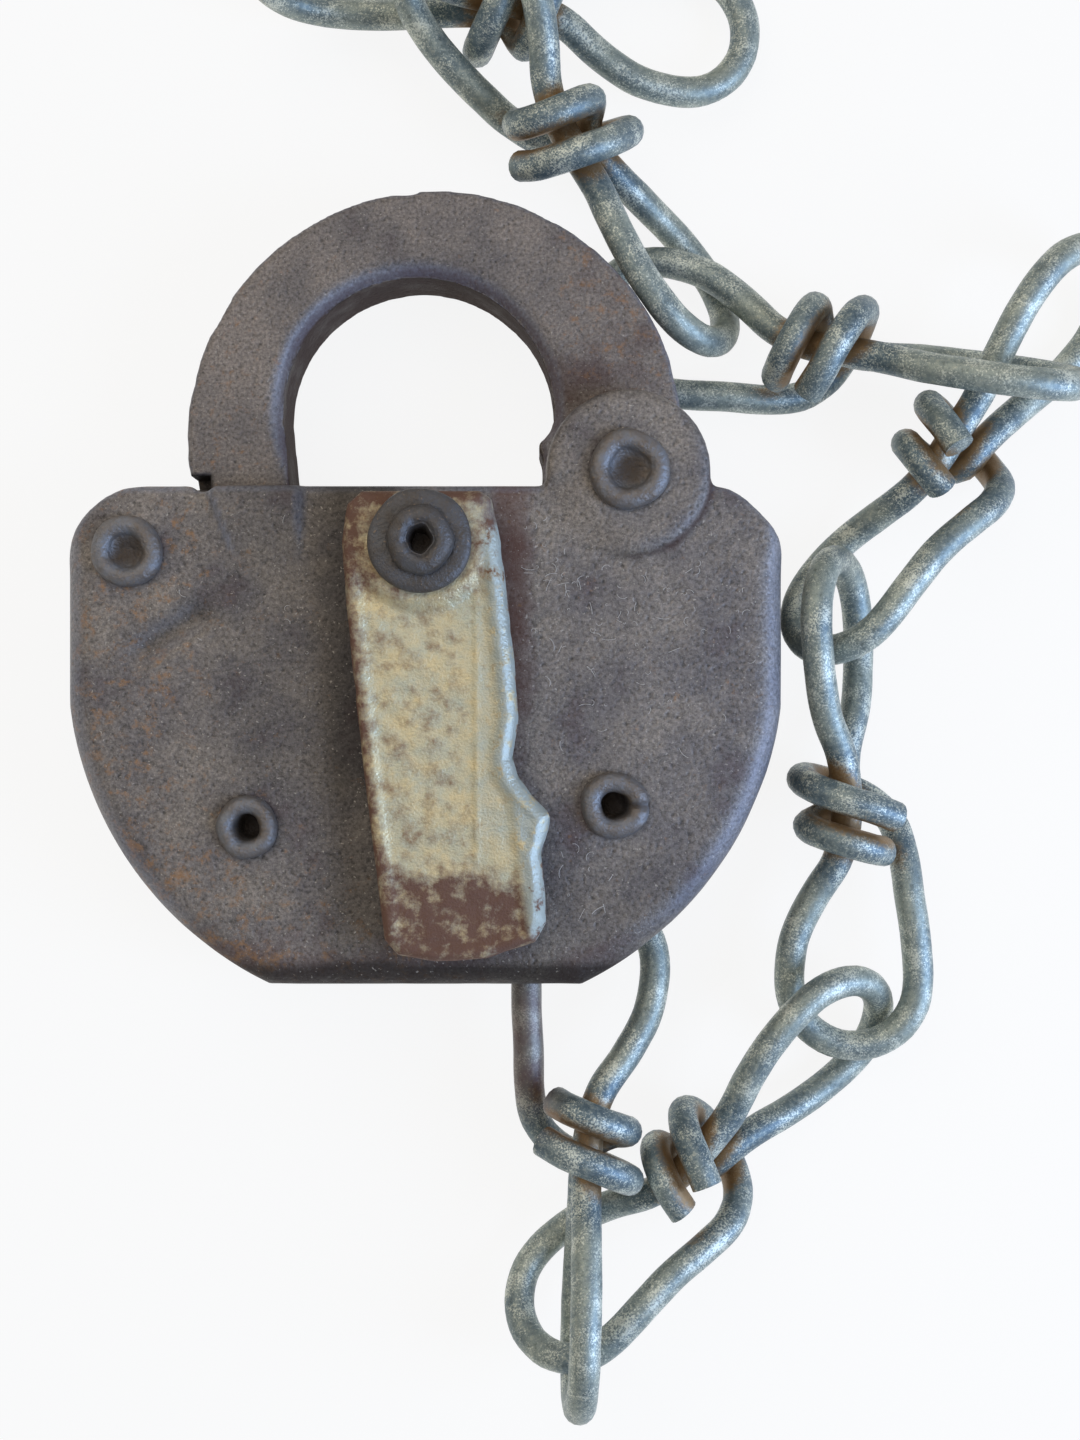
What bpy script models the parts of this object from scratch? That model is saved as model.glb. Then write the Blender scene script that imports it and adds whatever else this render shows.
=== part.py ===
"""Rusty riveted switch padlock with its length of knotted wire chain.

The lock lies on its back. The origin is the centre of the round case at its back face,
+X is the lock's right, +Y its shackle end and +Z its front. Sizes below are in millimetres
and are turned into metres where a shape is made.
"""
import math

import bmesh
import bpy
from mathutils import Vector

MM = 0.001
GAP = 0.3

# Case: a drawn front shell closed by a flat back plate
CASE_R = 36.4
CASE_FLAT_Y = -32.8
CASE_SIDE_X = 36.1
CASE_TOP_Y = 17.5
CORNER_LEFT_R = 7.8
CORNER_RIGHT_R = 7.0
CASE_T = 17.5
SHEET_T = 2.2
RIM_ROUND = 1.7
BOSS_R = 8.3
BOSS_RISE = 0.8
SLOT_LIP = 1.6

# Rivet places on the case, with flange, shank and hole radii
PIVOT = (20.45, 18.9)
RIVET_TOP_LEFT = (-29.7, 10.8)
RIVET_LOW_LEFT = (-17.6, -16.7)
RIVET_LOW_RIGHT = (19.1, -14.5)
SHANK_R = 2.2
PIVOT_SHANK_R = 3.0
FLANGE_H = 1.3

# Shackle: a flat forged bar, its toe curved about the pivot so that it can swing out
SHACKLE_BACK = 4.5
SHACKLE_FRONT = 14.3
SHACKLE_C = (0.9, 22.7)
SHACKLE_R = 25.25
EYE_C = (-0.85, 25.5)
EYE_R = 13.9
HEEL_R = 8.6
TOE_R = 44.3
TOE_END_Y = 6.5
TOE_INNER_X = -13.4
NOTCH_Y = (9.0, 13.2)
NOTCH_X = -16.6
SHACKLE_ROUND = 1.1

# Keyhole cover, a thick swinging drop on its own rivet
COVER_PIVOT = (0.0, 11.3)
COVER_BACK = 19.5
COVER_FRONT = 23.0
COVER_SHANK_R = 2.0
COVER_ROUND = 1.1
KEYHOLE = (2.5, -8.0)

# Works inside the case
DOG_Z = (5.0, 12.0)
LEVER_Z = (5.0, 7.4)
LEAF_T = 0.6
KEY_POST = (2.0, -13.6)
CHAIN_POST = (17.2, -28.7)

# Chain: round wire, each link knotted in the middle with its two loops at right angles
WIRE_R = 1.6
LOOP_R = 6.75
LOOP_X = 19.0

# Where each link lies: knot x, y, z, then heading, pitch, roll and the twist of its upright loop in degrees
LINK_PLACES = (
    (16.38, -50.58, 10.24, -92.0, 8.5, -2.1, -0.5),
    (28.80, -52.73, 7.20, 45.1, -2.4, -42.4, -4.1),
    (43.86, -14.96, 7.47, 93.1, 3.4, -4.6, -23.2),
    (55.71, 22.20, 7.01, 52.6, -0.6, -54.8, 14.3),
    (42.05, 33.10, 7.25, -10.4, 11.7, 10.2, 6.9),
    (15.25, 54.64, 10.00, -52.4, -8.5, 37.7, -2.6),
    (8.39, 69.23, 7.25, 176.4, 9.5, 2.8, -0.7),
)
# Upright axis that each link swings about
LINK_HINGES = (
    CHAIN_POST,
    (16.1, -59.7),
    (47.0, -34.5),
    (41.3, 6.2),
    (66.9, 28.5),
    (30.8, 34.5),
    (9.2, 70.0),
)


def start_scene():
    """Empty the scene and make one collection for the parts and one for the cutters."""
    for obj in list(bpy.data.objects):
        bpy.data.objects.remove(obj, do_unlink=True)
    made = []
    for name in ("rusty_padlock", "cutters"):
        group = bpy.data.collections.new(name)
        bpy.context.scene.collection.children.link(group)
        made.append(group)
    return made


def metal(name, colour, roughness, metallic):
    """A plain metal finish."""
    mat = bpy.data.materials.new(name)
    mat.use_nodes = True
    shader = mat.node_tree.nodes["Principled BSDF"]
    shader.inputs["Base Color"].default_value = (*colour, 1.0)
    shader.inputs["Roughness"].default_value = roughness
    shader.inputs["Metallic"].default_value = metallic
    return mat


def arc(centre, radius, start, end, steps):
    """Points along an arc, angles in degrees, both ends included."""
    angles = [math.radians(start + (end - start) * i / steps) for i in range(steps + 1)]
    return [(centre[0] + radius * math.cos(a), centre[1] + radius * math.sin(a)) for a in angles]


def meeting(c0, r0, c1, r1, side):
    """One of the two points where two circles cross, chosen by side +1 or -1."""
    dx, dy = c1[0] - c0[0], c1[1] - c0[1]
    span = math.hypot(dx, dy)
    along = (r0 * r0 - r1 * r1 + span * span) / (2 * span)
    off = side * math.sqrt(r0 * r0 - along * along)
    return (c0[0] + (along * dx - off * dy) / span, c0[1] + (along * dy + off * dx) / span)


def angle_of(centre, point):
    """Direction from a centre to a point, in degrees."""
    return math.degrees(math.atan2(point[1] - centre[1], point[0] - centre[0]))


def place(mesh, name, mat, group, origin, smooth=35):
    """Make a named object whose origin stands at the given point."""
    obj = bpy.data.objects.new(name, mesh)
    obj.location = Vector((*origin, 0.0)) * MM
    group.objects.link(obj)
    if mat:
        mesh.materials.clear()
        mesh.materials.append(mat)
        mesh.shade_smooth()
        mesh.set_sharp_from_angle(angle=math.radians(smooth))
    else:
        obj.hide_render = True
        obj.display_type = "WIRE"
    return obj


def slab(name, outline, low, high, mat, group, origin=(0.0, 0.0), rounding=0.0):
    """A flat outline with thickness, rounded along its rims if asked."""
    curve = bpy.data.curves.new(name, "CURVE")
    curve.dimensions = "2D"
    curve.fill_mode = "BOTH"
    curve.extrude = (high - low) / 2 * MM
    spline = curve.splines.new("POLY")
    spline.points.add(len(outline) - 1)
    for point, (x, y) in zip(spline.points, outline):
        point.co = ((x - origin[0]) * MM, (y - origin[1]) * MM, 0.0, 1.0)
    spline.use_cyclic_u = True
    flat = bpy.data.objects.new(name + "_outline", curve)
    group.objects.link(flat)
    mesh = bpy.data.meshes.new_from_object(flat.evaluated_get(bpy.context.evaluated_depsgraph_get()))
    bpy.data.objects.remove(flat)
    shape = bmesh.new()
    shape.from_mesh(mesh)
    bmesh.ops.remove_doubles(shape, verts=shape.verts, dist=0.00001)
    bmesh.ops.translate(shape, verts=shape.verts, vec=(0.0, 0.0, (low + high) / 2 * MM))
    bmesh.ops.recalc_face_normals(shape, faces=shape.faces)
    shape.to_mesh(mesh)
    shape.free()
    obj = place(mesh, name, mat, group, origin)
    if rounding:
        bevel = obj.modifiers.new("rims", "BEVEL")
        bevel.width = rounding * MM
        bevel.segments = 2
        bevel.limit_method = "ANGLE"
        bevel.angle_limit = math.radians(50)
    return obj


def turned(name, profile, mat, group, origin, steps=24):
    """A turned piece from its half profile of radius and height, top to bottom, closed if off the axis."""
    mesh = bpy.data.meshes.new(name)
    edges = [(i, i + 1) for i in range(len(profile) - 1)]
    if profile[0][0] > 0:
        edges.append((len(profile) - 1, 0))
    mesh.from_pydata([(r * MM, 0.0, z * MM) for r, z in profile], edges, [])
    obj = place(mesh, name, mat, group, origin)
    screw = obj.modifiers.new("turning", "SCREW")
    screw.axis = "Z"
    screw.steps = screw.render_steps = steps
    screw.use_merge_vertices = True
    screw.merge_threshold = 0.00001
    screw.use_smooth_shade = bool(mat)
    return obj


def ring(name, inner, outer, low, high, mat, group, origin):
    """A flat washer with softened outer edges."""
    soft = min(0.3, (high - low) / 3)
    profile = [
        (inner, low), (inner, high), (outer - soft, high), (outer, high - soft),
        (outer, low + soft), (outer - soft, low),
    ]
    return turned(name, profile, mat, group, origin)


def cylinder_cut(name, radius, low, high, group, origin):
    """A round cutter."""
    return turned(name, [(0, high), (radius, high), (radius, low), (0, low)], None, group, origin)


def block_cut(name, x, y, z, group):
    """A box cutter between two limits on each axis."""
    outline = [(x[0], y[0]), (x[1], y[0]), (x[1], y[1]), (x[0], y[1])]
    return slab(name, outline, z[0], z[1], None, group)


def combine(obj, tools, operation="DIFFERENCE", solver="EXACT"):
    """Cut an object by each tool, or join it with each."""
    for tool in tools:
        step = obj.modifiers.new(tool.name, "BOOLEAN")
        step.operation = operation
        step.solver = solver
        step.object = tool


def case_outline(inset=0.0):
    """The case seen from the front: a round body cut flat at the foot, square-shouldered on top."""
    radius = CASE_R - inset
    side = CASE_SIDE_X - inset
    foot = math.degrees(math.asin((CASE_FLAT_Y + inset) / radius))
    waist = -math.degrees(math.acos(side / radius))
    right = (CASE_SIDE_X - CORNER_RIGHT_R, CASE_TOP_Y - CORNER_RIGHT_R)
    left = (CORNER_LEFT_R - CASE_SIDE_X, CASE_TOP_Y - CORNER_LEFT_R)
    return (
        arc((0, 0), radius, foot, waist, 12)
        + arc(right, CORNER_RIGHT_R - inset, 0, 90, 6)
        + arc(left, CORNER_LEFT_R - inset, 90, 180, 6)
        + arc((0, 0), radius, 180 - waist, 180 - foot, 12)
    )


def rivet_bores(group):
    """Stepped cutters for the four case rivets, countersunk at the back."""
    bores = []
    places = (RIVET_TOP_LEFT, RIVET_LOW_LEFT, RIVET_LOW_RIGHT, PIVOT)
    for number, spot in enumerate(places):
        bore = (PIVOT_SHANK_R if spot is PIVOT else SHANK_R) + GAP
        profile = [
            (0, CASE_T + 3), (bore, CASE_T + 3), (bore, 1.9), (bore + 1.2, 0.7), (bore + 1.2, -1), (0, -1),
        ]
        bores.append(turned(f"rivet_bore_{number}", profile, None, group, spot))
    return bores


def make_case(parts, cutters, steel):
    """The front shell, its raised boss, mouths and slot, and the back plate."""
    bores = rivet_bores(cutters)
    shell = slab("front_shell", case_outline(), SHEET_T + GAP - RIM_ROUND - 0.5, CASE_T, steel, parts,
                 rounding=RIM_ROUND)
    boss_top = CASE_T + BOSS_RISE
    boss = turned("pivot_boss", [
        (0, boss_top), (BOSS_R - 0.8, boss_top), (BOSS_R - 0.25, boss_top - 0.25), (BOSS_R, boss_top - 0.8),
        (BOSS_R, CASE_T - SHEET_T), (0, CASE_T - SHEET_T),
    ], None, cutters, PIVOT, steps=32)
    cavity = slab("cavity", case_outline(SHEET_T), -3, CASE_T - SHEET_T, None, cutters)
    wall_top = CASE_T - SHEET_T
    foot = block_cut("foot_trim", (-50, 50), (-50, 50), (-5, SHEET_T + GAP), cutters)
    toe_mouth = block_cut("toe_mouth", (-24.8, -12.9), (14, 21), (0, wall_top), cutters)
    heel_mouth = block_cut("heel_mouth", (11.3, 32.8), (13, 30), (0, wall_top), cutters)
    chain_slot = block_cut("chain_slot", (7.0, 28.0), (-40, -20), (SHEET_T, wall_top - SLOT_LIP), cutters)
    nick = block_cut("mouth_nick", (-23.1, -20.9), (16.9, 20), (wall_top - 1, CASE_T + 1), cutters)
    key_round = cylinder_cut("keyhole_round", 2.7, 10, 20, cutters, KEYHOLE)
    key_slot = block_cut("keyhole_slot", (KEYHOLE[0] - 1.2, KEYHOLE[0] + 1.2),
                         (KEYHOLE[1] - 8.0, KEYHOLE[1]), (10, 20), cutters)
    cover_bore = cylinder_cut("cover_bore", COVER_SHANK_R + GAP, 10, 20, cutters, COVER_PIVOT)
    # The lobe meets the top edge at a shallow angle that the exact solver loses
    openings = [cavity, foot, toe_mouth, heel_mouth, chain_slot, nick, key_round, key_slot, cover_bore]
    combine(shell, [boss], "UNION", "MANIFOLD")
    combine(shell, openings + bores, "DIFFERENCE", "MANIFOLD")

    back = slab("back_plate", case_outline(), 0, SHEET_T, steel, parts, rounding=0.4)
    lobe = turned("back_lobe", [(0, SHEET_T), (BOSS_R, SHEET_T), (BOSS_R, 0.4), (BOSS_R - 0.4, 0), (0, 0)],
                  None, cutters, PIVOT, steps=32)
    combine(back, [lobe], "UNION", "MANIFOLD")
    combine(back, bores, "DIFFERENCE", "MANIFOLD")


def rivet(name, spot, flange, hole, depth, parts, steel, shank=SHANK_R, seat=CASE_T):
    """A tubular rivet: rolled flange and hole in front, flared flush in the back plate."""
    low = seat + GAP
    top = low + FLANGE_H
    profile = [
        (0, top - depth), (hole * 0.8, top - depth), (hole, top - depth + 0.3), (hole, top - 0.5),
        (hole + 0.45, top - 0.05), (flange * 0.72, top), (flange - 0.35, top - 0.3), (flange, top - 0.75),
        (flange - 0.15, low + 0.15), (flange - 0.5, low), (shank, low), (shank, 1.7), (shank + 1.1, 0.6),
        (shank + 1.1, GAP), (0, GAP),
    ]
    return turned(name, profile, steel, parts, spot, steps=20)


def make_rivets(parts, steel):
    """The four rivets that hold the case together, one of them the shackle's pivot."""
    rivet("rivet_top_left", RIVET_TOP_LEFT, 3.6, 1.75, 0.7, parts, steel)
    rivet("rivet_bottom_left", RIVET_LOW_LEFT, 3.1, 1.4, 5.0, parts, steel)
    rivet("rivet_bottom_right", RIVET_LOW_RIGHT, 3.4, 1.55, 5.0, parts, steel)
    rivet("shackle_rivet", PIVOT, 4.0, 1.9, 0.8, parts, steel, PIVOT_SHANK_R, CASE_T + BOSS_RISE)
    bore = PIVOT_SHANK_R + GAP
    ring("heel_washer_front", bore, 6.5, SHACKLE_FRONT + GAP, CASE_T - SHEET_T - GAP, steel, parts, PIVOT)
    ring("heel_washer_back", bore, 6.5, SHEET_T + GAP, SHACKLE_BACK - GAP, steel, parts, PIVOT)


def make_shackle(parts, cutters, steel):
    """The shackle, a bar of rectangular section with a notched toe and a round heel."""
    shoulder = meeting(SHACKLE_C, SHACKLE_R, PIVOT, HEEL_R, -1)
    if shoulder[1] < PIVOT[1]:
        shoulder = meeting(SHACKLE_C, SHACKLE_R, PIVOT, HEEL_R, 1)
    mouth = math.degrees(math.asin((CASE_TOP_Y - SHACKLE_C[1]) / SHACKLE_R))
    toe_top = angle_of(PIVOT, arc(SHACKLE_C, SHACKLE_R, 180 - mouth, 180 - mouth, 1)[0])
    toe_low = -180 + math.degrees(math.asin((PIVOT[1] - TOE_END_Y - 1.5) / TOE_R))
    toe_x = PIVOT[0] + TOE_R * math.cos(math.radians(toe_low))
    eye_right = EYE_C[0] + EYE_R
    heel_left = PIVOT[1] + math.sqrt(HEEL_R**2 - (PIVOT[0] - eye_right) ** 2)
    outline = (
        arc(SHACKLE_C, SHACKLE_R, angle_of(SHACKLE_C, shoulder), 180 - mouth, 30)
        + arc(PIVOT, TOE_R, toe_top, toe_low, 4)[1:]
        + [(toe_x + 1.5, TOE_END_Y), (TOE_INNER_X - 1.0, TOE_END_Y), (TOE_INNER_X, TOE_END_Y + 1.0)]
        + [(TOE_INNER_X, NOTCH_Y[0]), (NOTCH_X, NOTCH_Y[0]), (NOTCH_X, NOTCH_Y[1]), (TOE_INNER_X, NOTCH_Y[1])]
        + arc(EYE_C, EYE_R, 180, 0, 24)
        + arc(PIVOT, HEEL_R, angle_of(PIVOT, (eye_right, heel_left)),
              360 + angle_of(PIVOT, shoulder), 24)[:-1]
    )
    bar = slab("shackle", outline, SHACKLE_BACK, SHACKLE_FRONT, steel, parts, PIVOT, SHACKLE_ROUND)
    combine(bar, [cylinder_cut("heel_bore", PIVOT_SHANK_R + GAP, 0, 20, cutters, PIVOT)])


def make_cover(parts, cutters, brass, steel):
    """The keyhole cover with its spacer hub, its washer and its rivet."""
    outline = [
        (-7.8, 11.2), (-7.3, 15.2), (-5.9, 16.4), (5.8, 16.4), (6.9, 15.6), (7.8, 11.2), (9.1, -0.1),
        (9.5, -5.9), (8.9, -9.7), (9.5, -11.6), (10.8, -13.3), (12.7, -15.2), (12.4, -16.8), (11.7, -19.1),
        (12.1, -22.6), (12.2, -25.8), (11.2, -27.7), (6.4, -29.3), (1.5, -29.7), (-2.3, -29.0),
        (-3.6, -27.5), (-4.4, -21.0), (-5.6, -11.3), (-6.5, -3.3), (-7.3, 4.8),
    ]
    cover = slab("keyhole_cover", outline[::-1], COVER_BACK, COVER_FRONT, brass, parts, COVER_PIVOT,
                 COVER_ROUND)
    hub = cylinder_cut("cover_hub", 4.6, CASE_T + GAP, COVER_BACK + 1, cutters, COVER_PIVOT)
    bore = cylinder_cut("cover_eye", COVER_SHANK_R + GAP, 15, 25, cutters, COVER_PIVOT)
    combine(cover, [hub], "UNION")
    combine(cover, [bore])
    washer_low = COVER_FRONT + GAP
    ring("cover_washer", COVER_SHANK_R + GAP, 5.1, washer_low, washer_low + 1.2, steel, parts, COVER_PIVOT)
    head = washer_low + 1.2 + GAP
    inside = CASE_T - SHEET_T - GAP
    turned("cover_rivet", [
        (0, head + 0.6), (1.0, head + 0.6), (1.25, head + 1.3), (1.7, head + 1.7), (2.6, head + 1.7),
        (3.4, head + 1.1), (3.4, head + 0.2), (3.2, head), (COVER_SHANK_R, head), (COVER_SHANK_R, inside),
        (3.1, inside), (3.1, inside - 0.4), (2.6, inside - 0.8), (0, inside - 0.8),
    ], steel, parts, COVER_PIVOT, steps=20)


def leaf(name, route, low, high, parts, steel):
    """A flat leaf spring standing on edge, bent along its route."""
    spine = [Vector(p) for p in route]
    left, right = [], []
    for i, point in enumerate(spine):
        ahead = spine[min(i + 1, len(spine) - 1)] - spine[max(i - 1, 0)]
        side = Vector((-ahead.y, ahead.x)).normalized() * LEAF_T / 2
        left.append(tuple(point + side))
        right.append(tuple(point - side))
    return slab(name, right + left[::-1], low, high, steel, parts)


def make_works(parts, cutters, steel):
    """The locking dog, the tumbler lever, their springs and the two fixed posts."""
    dog_outline = arc(RIVET_LOW_LEFT, 4.4, 150, 380, 16) + [
        (-7.0, 2.0), (-7.4, 12.0), (-12.8, 12.0), (-12.8, 9.8), (-10.4, 8.6), (-10.6, 2.0),
    ]
    dog = slab("lock_dog", dog_outline, *DOG_Z, steel, parts, RIVET_LOW_LEFT, 0.4)
    combine(dog, [cylinder_cut("dog_bore", SHANK_R + GAP, 0, 20, cutters, RIVET_LOW_LEFT)])
    lever_outline = arc(RIVET_LOW_RIGHT, 4.2, 220, 440, 16) + [(5.4, 1.0), (3.2, -0.6), (5.0, -3.0)]
    lever = slab("tumbler_lever", lever_outline, *LEVER_Z, steel, parts, RIVET_LOW_RIGHT, 0.3)
    combine(lever, [cylinder_cut("lever_bore", SHANK_R + GAP, 0, 20, cutters, RIVET_LOW_RIGHT)])
    floor = SHEET_T + GAP
    leaf("dog_spring", [(6.2, 14.2), (6.9, 13.0), (5.6, 10.4), (1.0, 7.2), (-3.6, 5.8), (-6.6, 6.0)],
         floor, DOG_Z[1], parts, steel)
    leaf("tumbler_spring", [(4.4, -17.8), (5.0, -16.4), (6.4, -13.0), (8.0, -10.2), (8.4, -8.6)],
         floor, LEVER_Z[1], parts, steel)
    turned("key_post", [
        (0, 12.0), (1.2, 12.0), (1.5, 11.6), (1.5, 3.4), (2.6, 3.4), (2.6, floor), (0, floor),
    ], steel, parts, KEY_POST)
    top = CASE_T - SHEET_T - SLOT_LIP - GAP
    turned("chain_post", [(0, top), (1.4, top), (1.6, top - 0.3), (1.6, 3.6), (2.9, 3.6), (2.9, floor),
                          (0, floor)], steel, parts, CHAIN_POST)


def link_route():
    """The wire's way through one link, knot at the origin, loops along X."""
    turn = [math.radians(22.5 * i) for i in range(9)]
    knot_start = [
        (-1.0, -4.7, 4.3), (0.1, -2.5, 5.6), (1.2, 0.5, 5.85), (2.3, 3.2, 4.4), (2.9, 4.4, 1.3),
        (2.95, 4.3, -1.7), (2.5, 2.9, -4.7), (1.5, 0.1, -5.9), (0.0, -2.9, -5.2), (-2.4, -5.1, -3.7),
        (-5.8, -6.0, -2.0), (-10.0, -6.3, -0.6), (-14.5, -6.7, 0.0),
    ]
    flat_loop = [(-LOOP_X - LOOP_R * math.sin(a), -LOOP_R * math.cos(a), 0.0) for a in turn]
    core = [
        (-14.2, 6.1, 0.0), (-9.8, 3.9, 0.2), (-5.8, 1.3, 0.8), (-2.0, 0.2, 1.4), (1.7, 0.0, 1.95),
        (5.5, 0.0, 2.7), (10.0, 0.0, 4.9), (14.5, 0.0, 6.4),
    ]
    upright_loop = [(LOOP_X + LOOP_R * math.sin(a), 0.0, LOOP_R * math.cos(a)) for a in turn]
    knot_end = [
        (14.5, 0.0, -6.3), (10.0, 0.0, -4.7), (6.0, 0.0, -2.9), (2.6, 0.0, -2.0), (-0.2, 0.6, -2.35),
        (-1.5, 2.7, -1.6), (-1.9, 4.1, 0.7), (-2.3, 3.3, 3.5), (-3.2, 0.6, 5.1), (-4.2, -2.1, 4.2),
        (-4.8, -3.5, 1.9),
    ]
    return knot_start + flat_loop + core + upright_loop + knot_end


def make_chain(parts, zinc):
    """Seven knotted links, each hung on an empty that stands on its hinge axis."""
    route = [Vector(key) for key in link_route()]
    for number, (spot, hinge) in enumerate(zip(LINK_PLACES, LINK_HINGES), start=1):
        x, y, z, heading, pitch, roll, twist = spot
        curve = bpy.data.curves.new(f"chain_link_{number}", "CURVE")
        curve.dimensions = "3D"
        curve.bevel_depth = WIRE_R * MM
        curve.bevel_resolution = 2
        curve.use_fill_caps = True
        spline = curve.splines.new("POLY")
        spline.points.add(len(route) - 1)
        for point, key in zip(spline.points, route):
            lean = math.radians(twist) * min(max((key.x - 2.0) / 8.0, 0.0), 1.0)
            turned_y = key.y * math.cos(lean) - key.z * math.sin(lean)
            turned_z = key.y * math.sin(lean) + key.z * math.cos(lean)
            point.co = (key.x * MM, turned_y * MM, turned_z * MM, 1.0)
        curve.materials.append(zinc)
        link = bpy.data.objects.new(f"chain_link_{number}", curve)
        parts.objects.link(link)
        pin = bpy.data.objects.new(f"hinge_{number}", None)
        pin.location = Vector((*hinge, 0.0)) * MM
        parts.objects.link(pin)
        link.parent = pin
        link.location = Vector((x - hinge[0], y - hinge[1], z)) * MM
        link.rotation_euler = (math.radians(roll), math.radians(-pitch), math.radians(heading))


def build():
    """Make the whole lock and its chain."""
    parts, cutters = start_scene()
    case_steel = metal("weathered_case", (0.10, 0.08, 0.07), 0.75, 0.3)
    shackle_steel = metal("weathered_shackle", (0.11, 0.085, 0.075), 0.7, 0.35)
    rivet_steel = metal("dark_rivet", (0.07, 0.065, 0.065), 0.55, 0.6)
    cover_metal = metal("worn_cover", (0.42, 0.36, 0.24), 0.6, 0.4)
    works_steel = metal("dull_steel", (0.2, 0.19, 0.18), 0.5, 0.8)
    zinc = metal("weathered_zinc", (0.2, 0.22, 0.215), 0.55, 0.6)
    make_case(parts, cutters, case_steel)
    make_rivets(parts, rivet_steel)
    make_shackle(parts, cutters, shackle_steel)
    make_cover(parts, cutters, cover_metal, rivet_steel)
    make_works(parts, cutters, works_steel)
    make_chain(parts, zinc)


build()
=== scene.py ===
"""The look of the rusty switch padlock and its wire chain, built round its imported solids."""
import math
import random

import bmesh
import bpy
import numpy as np
from mathutils import Euler, Matrix, Vector, noise


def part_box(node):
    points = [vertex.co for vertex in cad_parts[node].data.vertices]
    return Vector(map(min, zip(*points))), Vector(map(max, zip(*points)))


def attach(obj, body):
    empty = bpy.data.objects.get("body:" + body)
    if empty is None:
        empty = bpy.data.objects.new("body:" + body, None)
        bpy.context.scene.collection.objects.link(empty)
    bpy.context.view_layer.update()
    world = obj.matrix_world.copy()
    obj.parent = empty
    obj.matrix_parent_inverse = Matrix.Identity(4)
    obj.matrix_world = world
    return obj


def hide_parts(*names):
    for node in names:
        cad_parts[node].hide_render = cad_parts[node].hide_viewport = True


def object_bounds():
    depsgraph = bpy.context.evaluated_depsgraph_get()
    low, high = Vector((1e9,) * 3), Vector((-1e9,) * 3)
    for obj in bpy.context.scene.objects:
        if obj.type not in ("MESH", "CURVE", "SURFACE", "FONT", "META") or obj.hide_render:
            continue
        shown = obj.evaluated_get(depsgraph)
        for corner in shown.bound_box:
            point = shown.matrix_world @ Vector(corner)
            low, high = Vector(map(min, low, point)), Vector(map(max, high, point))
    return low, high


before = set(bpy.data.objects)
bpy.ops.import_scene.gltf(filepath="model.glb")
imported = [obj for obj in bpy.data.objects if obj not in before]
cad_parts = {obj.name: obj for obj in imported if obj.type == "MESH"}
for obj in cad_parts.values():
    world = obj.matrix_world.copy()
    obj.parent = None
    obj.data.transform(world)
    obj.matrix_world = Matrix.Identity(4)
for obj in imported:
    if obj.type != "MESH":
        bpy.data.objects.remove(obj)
cad_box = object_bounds()


# The camera looks straight down at the lock on its back, as the photograph does.
# It stands 199 mm over the table and takes in about 108 by 144 mm at the case's face.
MM = 0.001
EYE = Vector((11.6, -6.0, 199.0)) * MM
FILM_HEIGHT = 36.0
LENS = 45.375

lens = bpy.data.cameras.new("straight_down")
lens.sensor_fit = "VERTICAL"
lens.sensor_height = FILM_HEIGHT
lens.lens = LENS
lens.clip_start = 10 * MM
camera = bpy.data.objects.new("straight_down", lens)
camera.location = EYE
bpy.context.scene.collection.objects.link(camera)
bpy.context.scene.camera = camera
bpy.context.scene.view_settings.view_transform = "Standard"


# The materials are built from these few kinds of nodes.
def linear(code):
    """Turn an sRGB hex colour to linear light."""
    parts = [int(code[i:i + 2], 16) / 255 for i in (1, 3, 5)]
    return (*[p / 12.92 if p <= 0.04045 else ((p + 0.055) / 1.055) ** 2.4 for p in parts], 1.0)


def node(tree, kind, settings=(), feeds=()):
    """Add one node, set its properties or sockets, and feed sockets from others, hex colours or numbers."""
    made = tree.nodes.new("ShaderNode" + kind)
    for name, value in dict(settings).items():
        if hasattr(made, str(name)):
            setattr(made, name, value)
        else:
            made.inputs[name].default_value = value
    for name, source in dict(feeds).items():
        if isinstance(source, bpy.types.NodeSocket):
            tree.links.new(source, made.inputs[name])
        else:
            made.inputs[name].default_value = linear(source) if isinstance(source, str) else source
    return made


def lumps_of(tree, size, detail=2.0, roughness=0.5):
    """Noise over the object with lumps of the given size in mm."""
    here = node(tree, "TexCoord").outputs["Object"]
    settings = {"Scale": 1 / (size * MM), "Detail": detail, "Roughness": roughness}
    return node(tree, "TexNoise", settings, {"Vector": here}).outputs[0]


def mask_of(tree, name):
    """The 0 to 1 mask kept on the mesh's points under this name."""
    return node(tree, "Attribute", {"attribute_name": name}).outputs["Fac"]


def spread(tree, value, low, high, start=0.0, end=1.0):
    """Map the value from its range low to high on to start to end, and no further."""
    settings = {"From Min": low, "From Max": high, "To Min": start, "To Max": end}
    return node(tree, "MapRange", settings, {"Value": value}).outputs[0]


def plus(tree, base, share, value):
    """The base with a share of the value added."""
    return node(tree, "Math", {"operation": "MULTIPLY_ADD"}, {0: value, 1: share, 2: base}).outputs[0]


def times(tree, value, factor):
    """The product of the two, kept within 0 and 1."""
    settings = {"operation": "MULTIPLY", "use_clamp": True}
    return node(tree, "Math", settings, {0: value, 1: factor}).outputs[0]


def blend(tree, amount, under, over):
    """The colour under with the colour over laid on it in the given amount."""
    return node(tree, "MixRGB", {}, {"Fac": amount, "Color1": under, "Color2": over}).outputs[0]


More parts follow.
